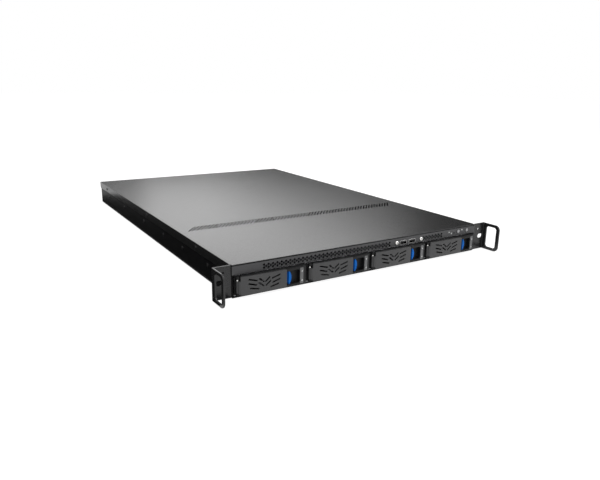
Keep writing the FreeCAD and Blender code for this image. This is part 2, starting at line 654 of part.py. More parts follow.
def tray_sled():
    """Two slotted side rails, a front plate and two floor straps that hold the drive."""
    outer = SLED_WIDTH / 2
    rail_top = SLED_Z + SLED_RAIL_HEIGHT
    rails = [block(x, x + SLED_SHEET, SLED_Y, SLED_END, SLED_Z, rail_top)
             for x in (-outer, outer - SLED_SHEET)]
    front = block(-outer, outer, SLED_Y, SLED_Y + SLED_SHEET, SLED_Z, BEZEL_TOP - SLED_FRONT_TRIM)
    straps = [block(-outer, outer, y, y + STRAP, SLED_Z, DRIVE_Z)
              for y in (SLED_Y, SLED_END - STRAP - 2 * SLED_TAIL)]
    sled = front.fuse(rails + straps).removeSplitter()
    slot = block(-outer - 1, outer + 1, SLED_Y + SLED_SLOT_START, SLED_END - SLED_SLOT_START,
                 SLED_Z + SLED_SLOT_WIDTH, SLED_Z + 2 * SLED_SLOT_WIDTH)
    return sled.cut([slot, tray_window(SLED_Y - 1, SLED_Y + SLED_SHEET + 1)])


def tray_bezel():
    """Front frame of the tray: open frame behind the lever, recess, strip groove and hinge pin."""
    back = SLED_Y - BEZEL_WALL
    plate_behind = block(BEZEL_LEFT, LEVER_END, back, SLED_Y, BEZEL_BOTTOM, BEZEL_TOP)
    frame = block(FRAME_LEFT, LEVER_END + LEVER_GAP, FRAME_Y, SLED_Y, BEZEL_BOTTOM, BEZEL_TOP)
    flush = bow(0, BEZEL_BOTTOM, BEZEL_TOP).common(ahead_of(SLED_Y, LEVER_END + LEVER_GAP, -BEZEL_LEFT))
    cavity = ahead_of(back, FRAME_LEFT + BEZEL_WALL, RECESS_LEFT - BEZEL_WALL,
                      BEZEL_BOTTOM + BEZEL_WALL, BEZEL_TOP - BEZEL_WALL)
    window = tray_window(back - 1, SLED_Y + 1)
    body = frame.fuse([plate_behind, flush]).cut([cavity, window, finger_recess(), strip_block(TOUCH)])
    pin = rod(PIN_X, PIN_Y, BEZEL_BOTTOM, PIN_RADIUS, BEZEL_HEIGHT)
    knuckles = [knuckle(BEZEL_BOTTOM, KNUCKLE_LOW), knuckle(BEZEL_TOP - KNUCKLE_HIGH, KNUCKLE_HIGH)]
    return body.fuse(knuckles + [pin]).removeSplitter()


def finger_recess():
    """Pocket beside the latch, with its right corners cut off."""
    pocket = ahead_of(RECESS_FLOOR, RECESS_LEFT, RECESS_RIGHT,
                      BEZEL_MID - RECESS_HEIGHT / 2, BEZEL_MID + RECESS_HEIGHT / 2)
    right = [e for e in pocket.Edges if e.BoundBox.XMin > RECESS_RIGHT - 0.1 and e.BoundBox.YLength > 1]
    return pocket.makeChamfer(RECESS_CORNER, right)


def knuckle(z, height):
    """Lug that carries one end of the hinge pin, rounded off by the tray's end."""
    lug = block(PIN_X - KNUCKLE_RADIUS, PIN_X + KNUCKLE_RADIUS, PIN_Y - KNUCKLE_RADIUS, SLED_Y, z, z + height)
    return lug.common(bow(0, z, z + height))


def tray_lever():
    """Bowed pull lever with a flat back, a barrel at its left end and slanting vents in its face."""
    low, high = BEZEL_BOTTOM + LEVER_TRIM, BEZEL_TOP - LEVER_TRIM
    hollow = bow(LEVER_SHEET, low - 1, high + 1).cut(ahead_of(LEVER_BACK, BEZEL_LEFT, LEVER_END))
    band = bow(0, low, high).cut(hollow)
    tall = band.common(ahead_of(END_Y, LEVER_CLEAR, LEVER_END))
    arm = band.common(ahead_of(END_Y, PIN_X, LEVER_CLEAR, BARREL_BOTTOM, BARREL_TOP))
    barrel = prism(BARREL_SIDES, PIN_X, PIN_Y, BARREL_BOTTOM, 2 * KNUCKLE_RADIUS,
                   BARREL_TOP - BARREL_BOTTOM, UP)
    lever = tall.fuse([arm, barrel]).removeSplitter()
    bore = rod(PIN_X, PIN_Y, 0, PIN_RADIUS + PIN_PLAY, HEIGHT)
    return lever.cut([bore] + leaf_vents())


def leaf_vents():
    """Slots that branch from a stem on both sides, as veins branch in a leaf."""
    stem = BEZEL_LEFT + VENT_STEM
    y = FRONT - 2 * BEZEL_REACH
    slots = []
    for near, near_height, far, far_height in VENTS:
        for side in (-1, 1):
            ends = [Vector(stem + side * near, y, BEZEL_BOTTOM + near_height),
                    Vector(stem + side * far, y, BEZEL_BOTTOM + far_height)]
            along = (ends[1] - ends[0]).normalize() * (VENT_WIDTH / 2)
            across = Vector(-along.z, 0, along.x)
            corners = [ends[0] - across - along, ends[1] - across,
                       ends[1] + across + along, ends[0] + across]
            slots.append(plate(corners, BACK * 2 * BEZEL_REACH))
    return slots


def tray_latch():
    """Flat latch with a rounded free edge; its low part slides behind the lever."""
    right = LEVER_END + LATCH_SHOWS
    left = RECESS_LEFT + LATCH_TRAVEL + FIT
    z0, z1 = BEZEL_MID - LATCH_HEIGHT / 2, BEZEL_MID + LATCH_HEIGHT / 2
    y0, y1 = FRONT - 2 * BEZEL_REACH, RECESS_FLOOR - FIT
    corner = right - LATCH_BULGE
    edges = [Part.LineSegment(Vector(corner, y0, z0), Vector(left, y0, z0)).toShape(),
             Part.LineSegment(Vector(left, y0, z0), Vector(left, y0, z1)).toShape(),
             Part.LineSegment(Vector(left, y0, z1), Vector(corner, y0, z1)).toShape(),
             Part.Arc(Vector(corner, y0, z1), Vector(right, y0, BEZEL_MID), Vector(corner, y0, z0)).toShape()]
    tab = Part.Face(Part.Wire(edges)).extrude(Vector(0, y1 - y0, 0))
    low = ahead_of(y1, left, right, z0, z1).cut(ahead_of(LEVER_BACK + LEVER_GAP + FIT, left, right))
    face = BOW_Y - (BOW_RADIUS ** 2 - right ** 2) ** 0.5 + LATCH_SINK
    high = block(LEVER_END + LATCH_STEP, right, face, y1, z0, z1)
    return tab.common(low.fuse(high).removeSplitter())


def strip_block(gap):
    """Space of the light strip, widened by a gap for its groove."""
    rise = STRIP_HEIGHT / 2 + gap
    return block(STRIP_LEFT - gap, STRIP_LEFT + STRIP_WIDTH + gap, STRIP_Y - gap, STRIP_Y + STRIP_SHEET + gap,
                 BEZEL_MID - rise, BEZEL_MID + rise)


def tray_lights():
    """Light strip beside the recess with two lamps standing out of it."""
    x, half = STRIP_LEFT + STRIP_WIDTH / 2, LAMP_SIZE / 2
    y = STRIP_Y - LAMP_PROUD
    heights = [BEZEL_MID + side * LAMP_SPACING / 2 for side in (-1, 1)]
    lamps = [block(x - half, x + half, y, y + LAMP_DEPTH, z - half, z + half) for z in heights]
    return strip_block(0).fuse(lamps).removeSplitter()


def tray_drive():
    """Disk drive: a box with a stepped lid and the connector notch in its rear."""
    half = DRIVE_WIDTH / 2
    end = DRIVE_Y + DRIVE_LENGTH
    top = DRIVE_Z + DRIVE_HEIGHT
    drive = block(-half, half, DRIVE_Y, end, DRIVE_Z, top - LID_STEP)
    lid = block(-half + LID_INSET, half - LID_INSET, DRIVE_Y + LID_INSET, end - LID_REAR, DRIVE_Z, top)
    notch = block(PLUG_LEFT - TOUCH, PLUG_LEFT + PLUG_WIDTH + TOUCH, end - NOTCH_DEPTH, end + 1,
                  DRIVE_Z - 1, DRIVE_Z + PLUG_HEIGHT)
    return drive.fuse(lid).cut(notch).removeSplitter()


def trays():
    """Every piece of every tray, numbered from the left."""
    makers = {"sled": tray_sled, "bezel": tray_bezel, "lever": tray_lever,
              "latch": tray_latch, "lights": tray_lights, "drive": tray_drive}
    nodes = {}
    for piece, make in makers.items():
        shape = make()
        for i, x in enumerate(bay_middles()):
            copy = shape.copy()
            copy.translate(Vector(x, 0, 0))
            nodes["tray_%d_%s" % (i + 1, piece)] = [copy]
    return nodes


# ---- backplane and fans -----------------------------------------------------
def bay_middles():
    return [(i - (BAY_COUNT - 1) / 2) * BAY_PITCH for i in range(BAY_COUNT)]


def backplane():
    """Board across the rear of the cage, open for air beside each connector."""
    edge = SIDE_IN - FIT
    board = block(-edge, edge, BACKPLANE_Y, BACKPLANE_Y + BOARD, SHEET, DECK_Z)
    near, far = AIR_HOLE
    cuts = [block(left, left + far - near, BACKPLANE_Y - 1, BACKPLANE_Y + BOARD + 1,
                  DRIVE_Z + AIR_HOLE_RISE, DECK_Z - AIR_HOLE_TRIM)
            for x in bay_middles() for left in (x - far, x + near)]
    return [board.cut(cuts)]


def backplane_connectors():
    """One plug-in connector behind each drive, with its blade tongue."""
    plugs = []
    front = DRIVE_Y + DRIVE_LENGTH + FIT
    for x in bay_middles():
        left = x + PLUG_LEFT
        body = block(left, left + PLUG_WIDTH, front + 1, BACKPLANE_Y, DRIVE_Z + FIT, DRIVE_Z + PLUG_HEIGHT)
        z = DRIVE_Z + (PLUG_HEIGHT - PLUG_TONGUE) / 2
        tongue = block(left + 2, left + PLUG_WIDTH - 2, front - PLUG_REACH, front + 1, z, z + PLUG_TONGUE)
        plugs.append(body.fuse(tongue))
    return plugs


def fan_middles():
    return [(i - (FAN_COUNT - 1) / 2) * FAN_SPREAD for i in range(FAN_COUNT)]


def fan_wall():
    """Upright wall with a window for each fan and a foot on the pan."""
    edge = SIDE_IN - FAN_WALL_MARGIN
    y0, y1 = FAN_WALL_Y, FAN_WALL_Y + SHEET
    wall = block(-edge, edge, y0, y1, SHEET, SHEET + FAN_SIZE + FAN_CLEAR)
    foot = block(-edge, edge, y0 - FAN_FOOT, y1, SHEET, 2 * SHEET)
    half = FAN_SIZE / 2 - FAN_SEAT
    windows = [block(x - half, x + half, y0 - 1, y1 + 1, FAN_Z - half, FAN_Z + half) for x in fan_middles()]
    return [wall.cut(windows).fuse(foot).removeSplitter()]


def fan_frames():
    """Square fan frames with a twelve-sided duct, struts and a motor base at the rear."""
    frames = []
    half = FAN_SIZE / 2
    end = FAN_Y + FAN_DEPTH
    for x in fan_middles():
        frame = block(x - half, x + half, FAN_Y, end, FAN_Z - half, FAN_Z + half)
        frame = frame.cut(prism(DUCT_SIDES, x, FAN_Y - 1, FAN_Z, 2 * DUCT_RADIUS, FAN_DEPTH + 2, BACK))
        motor = prism(MOTOR_SIDES, x, end - MOTOR_DEPTH, FAN_Z, HUB_ACROSS, MOTOR_DEPTH, BACK)
        struts = []
        for i in range(STRUTS):
            strut = block(x + HUB_ACROSS / 2 - 1, x + DUCT_RADIUS + FAN_DUCT_WALL, end - STRUT, end,
                          FAN_Z - STRUT / 2, FAN_Z + STRUT / 2)
            strut.rotate(Vector(x, 0, FAN_Z), BACK, 360 / STRUTS * (i + 0.5))
            struts.append(strut)
        frames.append(frame.fuse([motor] + struts))
    return frames


def rotor(x, z, y, depth, duct):
    """Fan rotor: a hub with one flat for each pitched blade."""
    hub = prism(BLADES, x, y, z, HUB_ACROSS, depth, BACK)
    chord = BLADE_REACH * depth / cos(radians(BLADE_ANGLE))
    tip = ((duct - BLADE_GAP) ** 2 - (chord / 2 * sin(radians(BLADE_ANGLE)) + BLADE_THICKNESS) ** 2) ** 0.5
    root = HUB_ACROSS / 2 - BLADE_ROOT
    blades = []
    for i in range(BLADES):
        blade = block(-BLADE_THICKNESS / 2, BLADE_THICKNESS / 2, -chord / 2, chord / 2, root, tip)
        blade.rotate(Vector(0, 0, 0), UP, BLADE_ANGLE)
        blade.translate(Vector(x, y + depth / 2, z))
        blade.rotate(Vector(x, 0, z), BACK, 360 / BLADES * i)
        blades.append(blade)
    return [hub.fuse(blades)]


# ---- mainboard --------------------------------------------------------------
def dimm_middles():
    return [DIMM_X + (i - (DIMM_COUNT - 1) / 2) * DIMM_PITCH for i in range(DIMM_COUNT)]


def motherboard():
    """Mainboard with its processor socket, memory sockets and slot connector."""
    board = block(BOARD_LEFT, BOARD_RIGHT, BOARD_FRONT, BOARD_REAR, BOARD_Z, BOARD_TOP)
    half = SOCKET_SIZE / 2
    parts = [block(SINK_X - half, SINK_X + half, SINK_Y - half, SINK_Y + half, BOARD_TOP,
                   BOARD_TOP + SOCKET_HEIGHT)]
    half = DIMM_THICKNESS / 2
    for x in dimm_middles():
        lower = block(x - 2 * half, x + 2 * half, DIMM_Y - DIMM_END, DIMM_Y + DIMM_LENGTH + DIMM_END,
                      BOARD_TOP, BOARD_TOP + DIMM_SOCKET)
        groove = block(x - half, x + half, DIMM_Y - TOUCH, DIMM_Y + DIMM_LENGTH + TOUCH,
                       BOARD_TOP + DIMM_SINK, BOARD_TOP + DIMM_SOCKET + 1)
        parts.append(lower.cut(groove))
    x, (width, length, height) = SLOT_COVER_LEFT + CARD_SLOT_RIGHT, CARD_SLOT
    y = BOARD_REAR - CARD_SLOT_BACK - length
    parts.append(block(x, x + width, y, y + length, BOARD_TOP, BOARD_TOP + height))
    x, y, (width, length, height) = BOARD_LEFT + CHIP_PLACE[0], BOARD_FRONT + CHIP_PLACE[1], CHIP
    parts.append(block(x, x + width, y, y + length, BOARD_TOP, BOARD_TOP + height))
    return [board.fuse(parts)]


def memory_modules():
    half = DIMM_THICKNESS / 2 - TOUCH
    return [block(x - half, x + half, DIMM_Y, DIMM_Y + DIMM_LENGTH, BOARD_TOP + DIMM_SINK,
                  WALL_TOP - DIMM_HEADROOM) for x in dimm_middles()]


def cpu_heatsink():
    """Finned heat sink on the processor, with the fins along the air flow."""
    half = SINK_SIZE / 2
    z0 = BOARD_TOP + SOCKET_HEIGHT
    base = block(SINK_X - half, SINK_X + half, SINK_Y - half, SINK_Y + half, z0, z0 + SINK_BASE)
    pitch = (SINK_SIZE - FIN) / (FIN_COUNT - 1)
    fins = [block(SINK_X - half + i * pitch, SINK_X - half + i * pitch + FIN, SINK_Y - half, SINK_Y + half,
                  z0 + SINK_BASE, WALL_TOP - SINK_HEADROOM) for i in range(FIN_COUNT)]
    return [base.fuse(fins).removeSplitter()]


# ---- rear panel pieces ------------------------------------------------------
def port_places():
    """Left edge, width, foot and height of each rear port."""
    left = SHIELD_LEFT + PORT_INSET
    return [(left + x, width, BOARD_TOP, height) for x, width, height in PORTS]


def io_ports():
    """Port housings along the board's rear edge, open to the rear."""
    ports = []
    y = REAR - PORT_DEPTH
    for x, width, z, height in port_places():
        housing = block(x, x + width, y, REAR + TOUCH, z, z + height)
        mouth = block(x + PORT_WALL, x + width - PORT_WALL, y + PORT_BACK, REAR + 1,
                      z + PORT_WALL, z + height - PORT_WALL)
        ports.append(housing.cut(mouth))
    return ports


def io_shield():
    """Shield behind the rear panel's opening, cut out round each port."""
    x0, x1 = SHIELD_LEFT - SHIELD_LAP, SHIELD_LEFT + SHIELD_WIDTH + SHIELD_LAP
    shield = block(x0, x1, PANEL_IN - SHIELD_SHEET, PANEL_IN, BOARD_TOP - SHIELD_LAP, WALL_TOP - TOUCH)
    cuts = [block(x - TOUCH, x + width + TOUCH, PANEL_IN - 2, REAR, z - TOUCH, z + height + TOUCH)
            for x, width, z, height in port_places()]
    return [shield.cut(cuts)]


def slot_cover():
    """Blank cover behind the expansion slot's opening."""
    top = WALL_TOP - SHIELD_LAP
    x0, x1 = SLOT_COVER_LEFT - SHIELD_LAP, SLOT_COVER_LEFT + SLOT_COVER_WIDTH + SHIELD_LAP
    y, rim = PANEL_IN - SHIELD_SHEET, top + SLOT_TAB_RISE
    cover = block(x0, x1, y, PANEL_IN, top - SLOT_COVER_HEIGHT - SHIELD_LAP, rim)
    tab = block(x0, x1, PANEL_IN - SLOT_TAB, PANEL_IN, rim - SHIELD_SHEET, rim)
    return [cover.fuse(tab).removeSplitter()]


def psu_case():
    """Power supply housing with a fan duct, a slotted finger guard and a bay for the inlet."""
    case = block(PSU_LEFT, PSU_LEFT + PSU_WIDTH, PSU_FRONT, PANEL_IN, SHEET, PSU_TOP)
    fan_x, inlet_x = PSU_MID + PSU_FAN_X, PSU_MID + INLET_X
    guard = PANEL_IN - PSU_WALL
    duct = prism(DUCT_SIDES, fan_x, guard - PSU_FAN_DEPTH, PSU_Z, 2 * PSU_FAN_RADIUS, PSU_FAN_DEPTH, BACK)
    half, rise = INLET_WIDTH / 2 + TOUCH, INLET_HEIGHT / 2 + TOUCH
    bay = block(inlet_x - half, inlet_x + half, PANEL_IN - INLET_DEPTH - TOUCH, REAR,
                PSU_Z - rise, PSU_Z + rise)
    slots = []
    for i in range(GUARD_SLOTS):
        offset = (i - (GUARD_SLOTS - 1) / 2) * GUARD_PITCH
        reach = (PSU_FAN_RADIUS ** 2 - (abs(offset) + GUARD_SLOT / 2) ** 2) ** 0.5 - GUARD_MARGIN
        z = PSU_Z + offset - GUARD_SLOT / 2
        slots.append(block(fan_x - reach, fan_x + reach, guard - 1, REAR, z, z + GUARD_SLOT))
    intakes = []
    for i in range(INTAKES):
        x = PSU_MID + (i - (INTAKES - 1) / 2) * INTAKE_PITCH - INTAKE_WIDTH / 2
        intakes.append(block(x, x + INTAKE_WIDTH, PSU_FRONT - 1, PSU_FRONT + INTAKE_DEPTH,
                             PSU_Z - INTAKE_HEIGHT / 2, PSU_Z + INTAKE_HEIGHT / 2))
    return [case.cut([duct, bay] + slots + intakes)]


def power_inlet():
    """Three-pole mains inlet, open to the rear."""
    x = PSU_MID + INLET_X
    half, rise = INLET_WIDTH / 2, INLET_HEIGHT / 2
    body = block(x - half, x + half, PANEL_IN - INLET_DEPTH, PANEL_IN + TOUCH, PSU_Z - rise, PSU_Z + rise)
    inner, up = half - INLET_WALL, rise - INLET_WALL
    floor = PANEL_IN - INLET_DEPTH + INLET_BACK
    mouth = block(x - inner, x + inner, floor, REAR, PSU_Z - up, PSU_Z + up)
    top = [e for e in mouth.Edges if e.BoundBox.ZMin > PSU_Z + up - 0.1 and e.BoundBox.XLength < 0.1]
    mouth = mouth.makeChamfer(INLET_BEVEL, top)
    width, height = POLE
    poles = []
    for i in (-1, 0, 1):
        left = x + i * POLE_PITCH - width / 2
        z = PSU_Z - height / 2 + (EARTH_RISE if i == 0 else -EARTH_RISE)
        poles.append(block(left, left + width, floor, PANEL_IN - POLE_SETBACK, z, z + height))
    return [body.cut(mouth).fuse(poles)]


# ---- all sub-parts ----------------------------------------------------------
def rotors():
    """The four case fans' rotors and the power supply's."""
    depth = FAN_DEPTH - MOTOR_DEPTH - 1 - FIT
    nodes = {"fan_rotor_%d" % (i + 1): rotor(x, FAN_Z, FAN_Y + 1, depth, DUCT_RADIUS)
             for i, x in enumerate(fan_middles())}
    duct_y = PANEL_IN - PSU_WALL - PSU_FAN_DEPTH
    nodes["psu_fan_rotor"] = rotor(PSU_MID + PSU_FAN_X, PSU_Z, duct_y + FIT,
                                   PSU_FAN_DEPTH - 1 - FIT, PSU_FAN_RADIUS)
    return nodes


def all_nodes():
    nodes = {
        "chassis_body": chassis_body(), "drive_cage": drive_cage(), "front_panel": front_panel(),
        "ear_left": ear_left(), "ear_right": ear_right(), "side_screws": side_screws(),
        "front_panel_screws": front_panel_screws(), "usb_sockets": usb_sockets(),
        "front_board": front_board(), "indicator_lights": indicator_lights(),
        "power_button": button(POWER_X), "reset_button": button(RESET_X),
        "top_cover": top_cover(), "cover_screws": cover_screws(),
        "backplane": backplane(), "backplane_connectors": backplane_connectors(),
        "fan_wall": fan_wall(), "fan_frames": fan_frames(),
        "motherboard": motherboard(), "memory_modules": memory_modules(), "cpu_heatsink": cpu_heatsink(),
        "io_ports": io_ports(), "io_shield": io_shield(), "slot_cover": slot_cover(),
        "psu_case": psu_case(), "power_inlet": power_inlet(),
    }
    nodes.update(rotors())
    nodes.update(trays())
    return nodes


def main():
    os.makedirs("parts", exist_ok=True)
    for name, solids in all_nodes().items():
        shape = solids[0] if len(solids) == 1 else Part.makeCompound(solids)
        shape.exportStep("parts/%s.step" % name)


main()
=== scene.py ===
"""Looks of the 1U rack server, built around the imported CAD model. Metres, +Y to the rear, +Z up."""

import json
import math

import bmesh
import bpy
from mathutils import Matrix, Vector

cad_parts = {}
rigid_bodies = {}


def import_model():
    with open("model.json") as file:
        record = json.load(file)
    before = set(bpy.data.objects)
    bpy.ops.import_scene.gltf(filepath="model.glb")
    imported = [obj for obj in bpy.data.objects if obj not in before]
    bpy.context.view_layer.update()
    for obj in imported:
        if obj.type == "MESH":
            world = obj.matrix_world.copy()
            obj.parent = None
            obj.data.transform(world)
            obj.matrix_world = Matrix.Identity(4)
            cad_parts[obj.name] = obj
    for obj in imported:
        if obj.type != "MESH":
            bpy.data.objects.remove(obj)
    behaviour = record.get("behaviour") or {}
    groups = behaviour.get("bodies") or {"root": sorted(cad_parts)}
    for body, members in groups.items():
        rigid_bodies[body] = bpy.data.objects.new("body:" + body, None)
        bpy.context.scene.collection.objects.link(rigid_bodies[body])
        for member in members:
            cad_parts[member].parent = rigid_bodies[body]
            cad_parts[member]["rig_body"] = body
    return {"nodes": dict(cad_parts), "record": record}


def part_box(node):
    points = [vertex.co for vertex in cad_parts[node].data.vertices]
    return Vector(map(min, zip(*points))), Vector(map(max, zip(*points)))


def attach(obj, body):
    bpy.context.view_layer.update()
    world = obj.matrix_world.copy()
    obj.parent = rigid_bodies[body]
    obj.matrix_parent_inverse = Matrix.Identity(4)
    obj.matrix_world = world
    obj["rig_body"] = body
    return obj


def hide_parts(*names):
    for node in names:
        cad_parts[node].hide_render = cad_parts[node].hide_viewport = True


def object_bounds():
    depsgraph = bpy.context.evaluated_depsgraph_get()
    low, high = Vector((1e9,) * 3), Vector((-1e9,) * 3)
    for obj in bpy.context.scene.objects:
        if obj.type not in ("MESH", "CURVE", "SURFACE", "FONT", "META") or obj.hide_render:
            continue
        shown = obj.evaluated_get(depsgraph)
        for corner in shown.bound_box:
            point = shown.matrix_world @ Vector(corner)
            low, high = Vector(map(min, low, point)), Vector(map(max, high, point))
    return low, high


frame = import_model()
CAD_BOX = [list(corner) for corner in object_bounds()]
NODES = frame["nodes"]
SLOT_OF = {part["node"]: part["material_slot"] for part in frame["record"]["subparts"]}
SWING = {joint["name"]: joint.get("pos_m") for joint in frame["record"]["behaviour"]["joints"]}
TRAYS = (1, 2, 3, 4)
MM = 0.001
X, Y, Z = Vector((1, 0, 0)), Vector((0, 1, 0)), Vector((0, 0, 1))


# ---- materials --------------------------------------------------------------
class Net:
    """A material's node tree with short calls for the nodes used here."""

    def __init__(self, name):
        self.material = bpy.data.materials.new(name)
        self.material.use_nodes = True
        self.tree = self.material.node_tree
        self.shader = self.tree.nodes["Principled BSDF"]
        self.place = self.add("ShaderNodeTexCoord").outputs["Object"]

    def add(self, kind, **values):
        node = self.tree.nodes.new(kind)
        for key, value in values.items():
            setattr(node, key, value)
        return node

    def join(self, source, target):
        self.tree.links.new(source, target)

    def scaled(self, sizes):
        """Object coordinates with another scale along each axis."""
        node = self.add("ShaderNodeMapping")
        self.join(self.place, node.inputs["Vector"])
        node.inputs["Scale"].default_value = sizes
        return node.outputs["Vector"]

    def noise(self, scale, detail, rough=0.55, vector=None):
        node = self.add("ShaderNodeTexNoise")
        node.inputs["Scale"].default_value = scale
        node.inputs["Detail"].default_value = detail
        node.inputs["Roughness"].default_value = rough
        self.join(vector or self.place, node.inputs["Vector"])
        return node.outputs["Fac"]

    def cells(self, scale):
        node = self.add("ShaderNodeTexVoronoi")
        node.inputs["Scale"].default_value = scale
        self.join(self.place, node.inputs["Vector"])
        return node.outputs["Distance"]

    def spread(self, source, low, high, start=0.3, end=0.7):
        """A value from low to high as the source goes from start to end."""
        node = self.add("ShaderNodeMapRange")
        self.join(source, node.inputs["Value"])
        for key, value in zip(("From Min", "From Max", "To Min", "To Max"), (start, end, low, high)):
            node.inputs[key].default_value = value
        return node.outputs["Result"]

    def ramp(self, source, *stops):
        """Colour ramp between two stops, each a position and a colour."""
        node = self.add("ShaderNodeValToRGB")
        for element, (position, colour) in zip(node.color_ramp.elements, stops):
            element.position = position
            element.color = (*colour, 1)
        self.join(source, node.inputs["Fac"])
        return node.outputs["Color"]

    def bump(self, height, depth, strength):
        """Relief; its depth is in millimetres."""
        node = self.add("ShaderNodeBump")
        node.inputs["Strength"].default_value = strength
        node.inputs["Distance"].default_value = depth * MM
        self.join(height, node.inputs["Height"])
        self.join(node.outputs["Normal"], self.shader.inputs["Normal"])

    def colour(self, output):
        self.join(output, self.shader.inputs["Base Color"])

    def rough(self, output):
        self.join(output, self.shader.inputs["Roughness"])

    def fixed(self, **values):
        for key, value in values.items():
            self.shader.inputs[key.replace("_", " ")].default_value = value


def shade(colour, factor):
    return tuple(min(1.0, c * factor) for c in colour)


def powder_paint(name, colour, rough, sheen=0.5, grain=1800.0, depth=0.04, patch=14.0, vary=0.18):
    """Baked paint: a fine orange-peel grain with broad faint patches."""
    net = Net(name)
    broad = net.noise(patch, detail=4, rough=0.6)
    fine = net.noise(grain, detail=2, rough=0.5)
    net.colour(net.ramp(broad, (0.25, shade(colour, 1 - vary)), (0.75, shade(colour, 1 + vary))))
    net.rough(net.spread(fine, low=rough - 0.05, high=rough + 0.07))
    net.bump(fine, depth, strength=0.5)
    net.fixed(Metallic=0.0, Specular_IOR_Level=sheen)
    return net.material


def brushed(name, colour, rough, stretch, metal=1.0):
    """Bare or plated metal; its grain becomes lines along an axis where the stretch is small."""
    net = Net(name)
    lines = net.noise(1.0, detail=3, rough=0.6, vector=net.scaled(stretch))
    broad = net.noise(22, detail=4, rough=0.6)
    net.colour(net.ramp(broad, (0.2, shade(colour, 0.8)), (0.8, shade(colour, 1.1))))
    net.rough(net.spread(lines, low=rough - 0.08, high=rough + 0.12))
    net.bump(lines, depth=0.02, strength=0.4)
    net.fixed(Metallic=metal)
    return net.material


def plastic(name, colour, rough, grain=2600.0, depth=0.03, vary=0.1, sheen=0.5):
    """Moulded plastic with a fine spark-eroded grain."""
    net = Net(name)
    fine = net.cells(grain)
    broad = net.noise(30, detail=3, rough=0.5)
    net.colour(net.ramp(broad, (0.3, shade(colour, 1 - vary)), (0.7, shade(colour, 1 + vary))))
    net.rough(net.spread(fine, low=rough - 0.06, high=rough + 0.06, start=0.0, end=0.8))
    net.bump(fine, depth, strength=0.35)
    net.fixed(Metallic=0.0, Specular_IOR_Level=sheen)
    return net.material


def circuit_board(name, colour, copper):
    """Solder mask over copper: fine tracks show as slightly lighter lines."""
    net = Net(name)
    tracks = net.add("ShaderNodeTexBrick", offset=0.5)
    net.join(net.scaled((260, 260, 260)), tracks.inputs["Vector"])
    tracks.inputs["Color1"].default_value = (*colour, 1)
    tracks.inputs["Color2"].default_value = (*shade(colour, 1.35), 1)
    tracks.inputs["Mortar"].default_value = (*copper, 1)
    tracks.inputs["Mortar Size"].default_value = 0.035
    net.colour(tracks.outputs["Color"])
    net.rough(net.spread(net.noise(900, detail=2), low=0.3, high=0.45))
    net.bump(tracks.outputs["Fac"], depth=0.03, strength=0.4)
    net.fixed(Metallic=0.0)
    return net.material


def lens(name, colour):
    """Clear moulded light pipe, a little cloudy."""
    net = Net(name)
    cloud = net.noise(600, detail=2)
    net.colour(net.ramp(cloud, (0.3, shade(colour, 0.85)), (0.7, shade(colour, 1.1))))
    net.rough(net.spread(cloud, low=0.12, high=0.25))
    net.bump(cloud, depth=0.03, strength=0.2)
    net.fixed(Metallic=0.0, Coat_Weight=0.6, Coat_Roughness=0.08)
    return net.material


LOOKS = {
    "chassis_paint": powder_paint("chassis_paint", (0.005, 0.005, 0.0055), 0.44, sheen=0.12),
    "cover_paint": powder_paint("cover_paint", (0.009, 0.009, 0.0092), 0.3, grain=1500, depth=0.02,
                                patch=6.0, vary=0.1),
    "panel_paint": powder_paint("panel_paint", (0.035, 0.035, 0.037), 0.45),
    "ear_paint": powder_paint("ear_paint", (0.012, 0.012, 0.0125), 0.27, sheen=0.4),
    "black_screw": brushed("black_screw", (0.06, 0.06, 0.062), 0.3, (700, 700, 700), metal=0.8),
    "bright_screw": brushed("bright_screw", (0.75, 0.74, 0.72), 0.2, (600, 600, 600)),
    "port_shell": brushed("port_shell", (0.5, 0.5, 0.49), 0.32, (1800, 1800, 1800)),
    "board_green": circuit_board("board_green", (0.012, 0.06, 0.028), copper=(0.03, 0.13, 0.05)),
    "light_lens": lens("light_lens", (0.45, 0.46, 0.45)),
    "button_cap": brushed("button_cap", (0.3, 0.3, 0.305), 0.32, (500, 500, 500), metal=0.9),
    "zinc_sheet": brushed("zinc_sheet", (0.5, 0.51, 0.53), 0.36, (200, 1800, 1800)),
    "black_plastic": plastic("black_plastic", (0.015, 0.015, 0.016), 0.45),
    "sink_aluminium": brushed("sink_aluminium", (0.72, 0.72, 0.73), 0.3, (900, 40, 900)),
    "rotor_plastic": plastic("rotor_plastic", (0.02, 0.02, 0.021), 0.38),
    "sled_sheet": brushed("sled_sheet", (0.26, 0.26, 0.27), 0.45, (500, 40, 500)),
    "bezel_plastic": plastic("bezel_plastic", (0.009, 0.009, 0.0095), 0.45, sheen=0.2),
    "lever_plastic": plastic("lever_plastic", (0.045, 0.045, 0.046), 0.42, sheen=0.4),
    "latch_blue": plastic("latch_blue", (0.0025, 0.115, 0.46), 0.35, grain=2000, depth=0.02,
                          vary=0.12, sheen=0.12),
    "strip_silver": plastic("strip_silver", (0.115, 0.115, 0.117), 0.35),
    "drive_case": brushed("drive_case", (0.45, 0.45, 0.46), 0.34, (300, 300, 300), metal=0.9),
}


def dress(obj, slot):
    """Gives a mesh the look of one material slot."""
    obj.data.materials.clear()
    obj.data.materials.append(LOOKS[slot])


for node, obj in NODES.items():
    dress(obj, SLOT_OF[node])


# ---- pieces -----------------------------------------------------------------
SAME_PLACE = 1e-6              # metres; corners nearer than this are one
CREASE = math.radians(35)      # an edge that turns more than this stays a crease in the shading


def body_of(node):
    return NODES[node]["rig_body"]


def shape_of(node):
    """The node's own shape, its corners joined."""
    bm = bmesh.new()
    bm.from_mesh(NODES[node].data)
    bmesh.ops.remove_doubles(bm, verts=bm.verts, dist=SAME_PLACE)
    return bm


